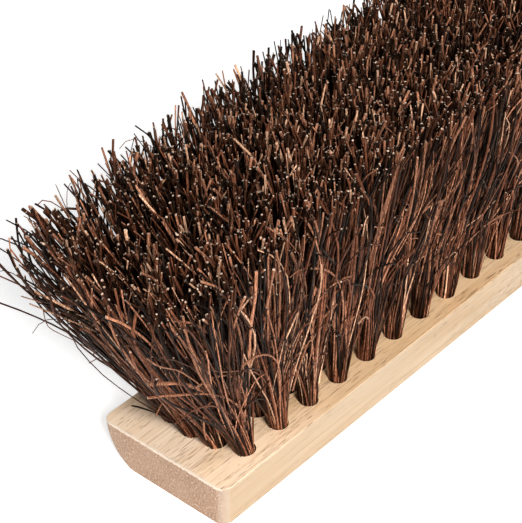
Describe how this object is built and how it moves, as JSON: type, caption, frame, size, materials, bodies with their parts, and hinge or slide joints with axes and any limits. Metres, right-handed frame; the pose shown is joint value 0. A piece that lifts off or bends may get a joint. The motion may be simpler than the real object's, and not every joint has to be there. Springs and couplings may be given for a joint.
{
  "type": "push broom head",
  "caption": "Push broom head: a long hardwood block with rows of stiff, flared palmyra tufts, wire staples that hold them, and slanted threaded holes for a handle.",
  "frame": {"origin": "centre of the block's flat back at its lowest level, under the centre of the whole head", "axes": "+X along the block, +Z out of the bristle face towards the tips, -Y towards the square long side; the +Y long side is rounded towards the back"},
  "size_m": [0.5128, 0.1014, 0.1556],
  "materials": {
    "wood": "matte",
    "palmyra": "matte",
    "wire": "satin"
  },
  "bodies": {
    "root": {"anchors_01": "wire", "anchors_02": "wire", "anchors_03": "wire", "anchors_04": "wire", "anchors_05": "wire", "anchors_06": "wire", "anchors_07": "wire", "anchors_08": "wire", "anchors_09": "wire", "anchors_10": "wire", "anchors_11": "wire", "anchors_12": "wire", "anchors_13": "wire", "anchors_14": "wire", "anchors_15": "wire", "anchors_16": "wire", "anchors_17": "wire", "block": "wood", "tufts_01": "palmyra", "tufts_02": "palmyra", "tufts_03": "palmyra", "tufts_04": "palmyra", "tufts_05": "palmyra", "tufts_06": "palmyra", "tufts_07": "palmyra", "tufts_08": "palmyra", "tufts_09": "palmyra", "tufts_10": "palmyra", "tufts_11": "palmyra", "tufts_12": "palmyra", "tufts_13": "palmyra", "tufts_14": "palmyra", "tufts_15": "palmyra", "tufts_16": "palmyra", "tufts_17": "palmyra"}
  },
  "joints": []
}
